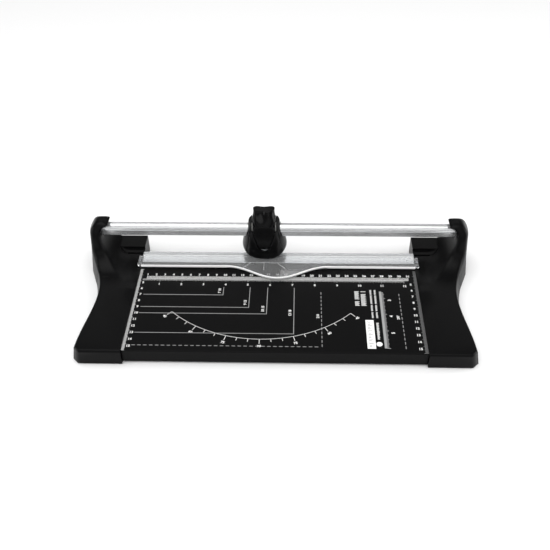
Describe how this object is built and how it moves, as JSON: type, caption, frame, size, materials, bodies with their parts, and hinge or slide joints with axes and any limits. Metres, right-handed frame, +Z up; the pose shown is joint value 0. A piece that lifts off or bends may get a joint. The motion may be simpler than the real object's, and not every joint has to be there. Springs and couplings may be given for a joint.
{
  "type": "rotary paper trimmer",
  "caption": "Desktop rotary paper trimmer: printed cutting table between end caps, clear hold-down strip, rail and sliding blade head.",
  "frame": {"origin": "middle of the footprint on the desk", "axes": "+X along the cut to the right, +Y from the user to the back, +Z up"},
  "size_m": [0.45, 0.191, 0.0774],
  "materials": {
    "table_steel": "satin black powder coat with white print",
    "bar_aluminium": "bright drawn",
    "mat_plastic": "satin",
    "clear_strip": "clear, polished edges",
    "rail_aluminium": "satin anodised",
    "foot_rubber": "matt",
    "blade_steel": "ground",
    "glide_plastic": "smooth",
    "roller_plastic": "smooth",
    "head_plastic": "semi-gloss",
    "cap_plastic": "semi-gloss, fine grain",
    "inner_plastic": "moulded",
    "fitting_steel": "zinc plated"
  },
  "bodies": {
    "root": {"bar_screws": "fitting_steel", "base_board": "table_steel", "board_screws": "fitting_steel", "cap_base_left": "cap_plastic", "cap_base_right": "cap_plastic", "cap_cover_left": "cap_plastic", "cap_cover_right": "cap_plastic", "cap_screws": "fitting_steel", "cutting_bar": "bar_aluminium", "cutting_mat": "mat_plastic", "feet": "foot_rubber", "guide_rail": "rail_aluminium", "rail_plug_left": "fitting_steel", "rail_plug_right": "fitting_steel", "rail_screw_left": "fitting_steel", "rail_screw_right": "fitting_steel", "strip_pin_left": "fitting_steel", "strip_pin_right": "fitting_steel", "strip_spring_left": "fitting_steel", "strip_spring_right": "fitting_steel"},
    "strip": {"hold_down_strip": "clear_strip"},
    "carriage": {"carriage_frame": "inner_plastic", "carriage_front_cover": "head_plastic", "carriage_rear_cover": "head_plastic", "glide_pads": "glide_plastic", "cover_screws": "fitting_steel", "press_spring_left": "fitting_steel", "press_spring_right": "fitting_steel"},
    "cutter": {"press_button": "head_plastic", "blade_holder": "inner_plastic", "blade_axle": "fitting_steel", "blade_clip": "fitting_steel", "roller_pin_left": "fitting_steel", "roller_pin_right": "fitting_steel"},
    "blade": {"blade_disc": "blade_steel"},
    "roller_left": {"roller_left": "roller_plastic"},
    "roller_right": {"roller_right": "roller_plastic"}
  },
  "joints": [
    {"name": "carriage_slide", "type": "slide", "parent": "root", "child": "carriage", "axis": [1, 0, 0], "range_m": [-0.147, 0.179]},
    {"name": "press_slide", "type": "slide", "parent": "carriage", "child": "cutter", "axis": [0, 0, -1], "range_m": [0, 0.0025], "stiffness_N_per_m": 900, "springref_m": -0.002, "deforming": ["press_spring_left", "press_spring_right"]},
    {"name": "blade_spin", "type": "hinge", "parent": "cutter", "child": "blade", "pos_m": [-0.016, 0.0649, 0.0346], "axis": [0, 1, 0], "continuous": true},
    {"name": "roller_left_spin", "type": "hinge", "parent": "cutter", "child": "roller_left", "pos_m": [-0.025, 0.059, 0.0276], "axis": [0, 1, 0], "continuous": true},
    {"name": "roller_right_spin", "type": "hinge", "parent": "cutter", "child": "roller_right", "pos_m": [-0.007, 0.059, 0.0276], "axis": [0, 1, 0], "continuous": true},
    {"name": "strip_press", "type": "slide", "parent": "root", "child": "strip", "axis": [0, 0, -1], "range_m": [0, 0.002], "stiffness_N_per_m": 200, "springref_m": -0.004, "deforming": ["strip_spring_left", "strip_spring_right"]}
  ],
  "couplings": [
    {"joint": "blade_spin", "follows": "carriage_slide", "rad_per_m": 71.429},
    {"joint": "roller_left_spin", "follows": "carriage_slide", "rad_per_m": 250},
    {"joint": "roller_right_spin", "follows": "carriage_slide", "rad_per_m": 250},
    {"joint": "strip_press", "follows": "press_slide", "ratio": 0.8}
  ]
}
